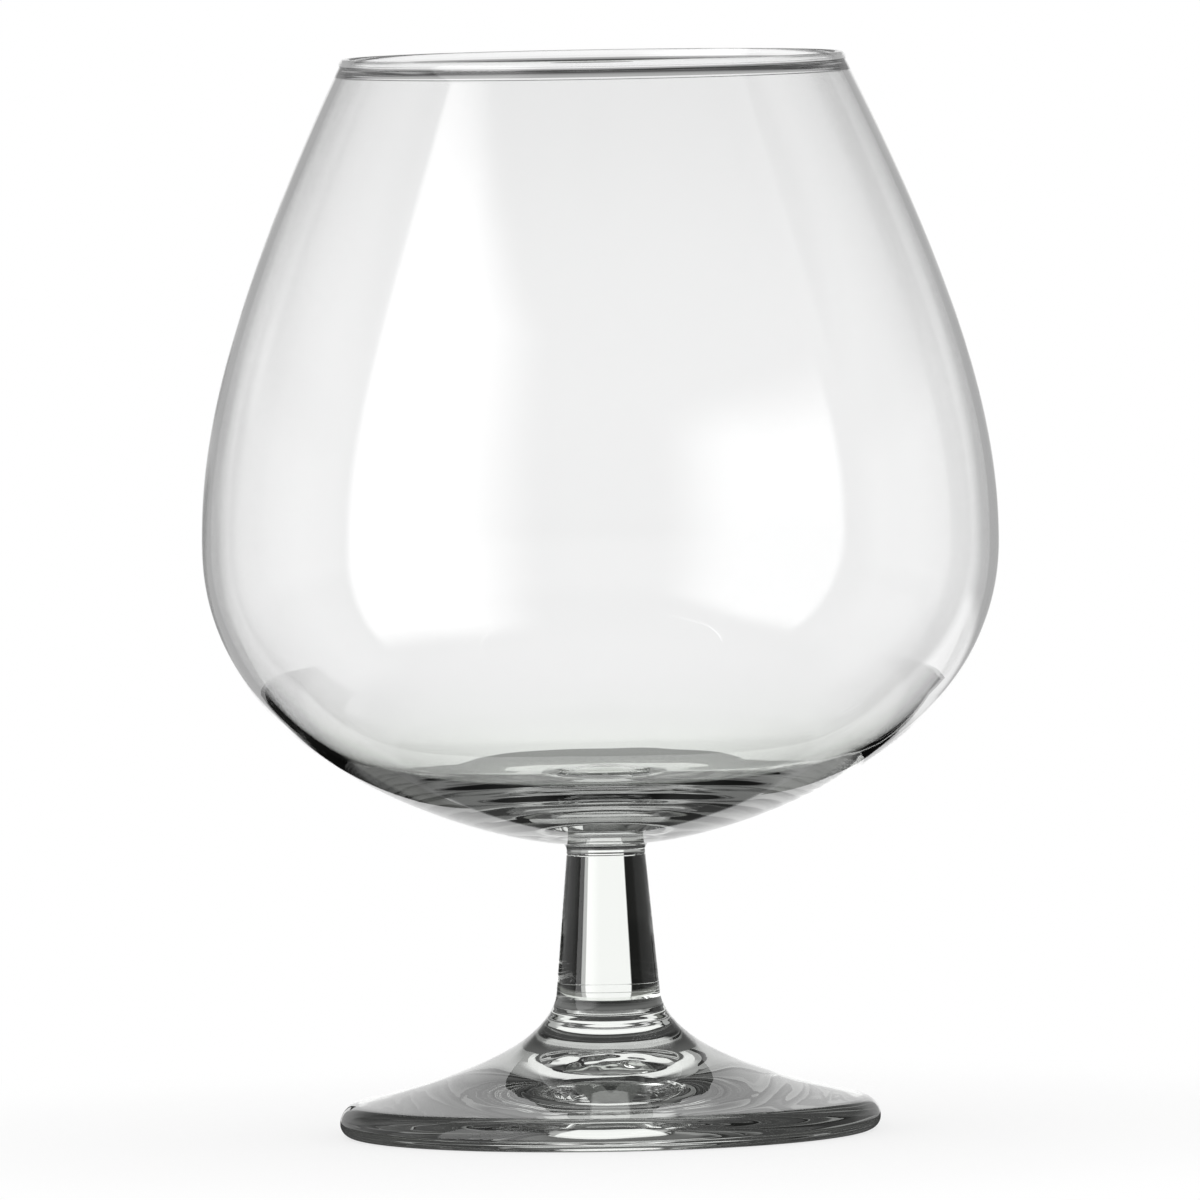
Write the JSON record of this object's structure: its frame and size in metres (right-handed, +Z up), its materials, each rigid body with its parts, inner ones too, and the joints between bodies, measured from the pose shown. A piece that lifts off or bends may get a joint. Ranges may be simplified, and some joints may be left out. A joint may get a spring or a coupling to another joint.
{
  "type": "brandy snifter",
  "caption": "Clear glass brandy snifter: a wide round bowl that narrows to its rim, on a short solid stem and a flared round foot.",
  "frame": {"origin": "centre of the foot's resting ring, on the plane of the surface that the glass stands on", "axes": "+Z up along the glass's axis of revolution; X and Y are equal, and the picture is seen from -Y"},
  "size_m": [0.108, 0.108, 0.146],
  "materials": {
    "blown_glass": "clear blown glass, fire-polished, faintly green-grey where it is thick",
    "pressed_glass": "clear pressed glass, fire-polished, with faint mould marks"
  },
  "bodies": {
    "root": {"bowl": "blown_glass", "stem": "pressed_glass", "foot": "pressed_glass"}
  },
  "joints": []
}
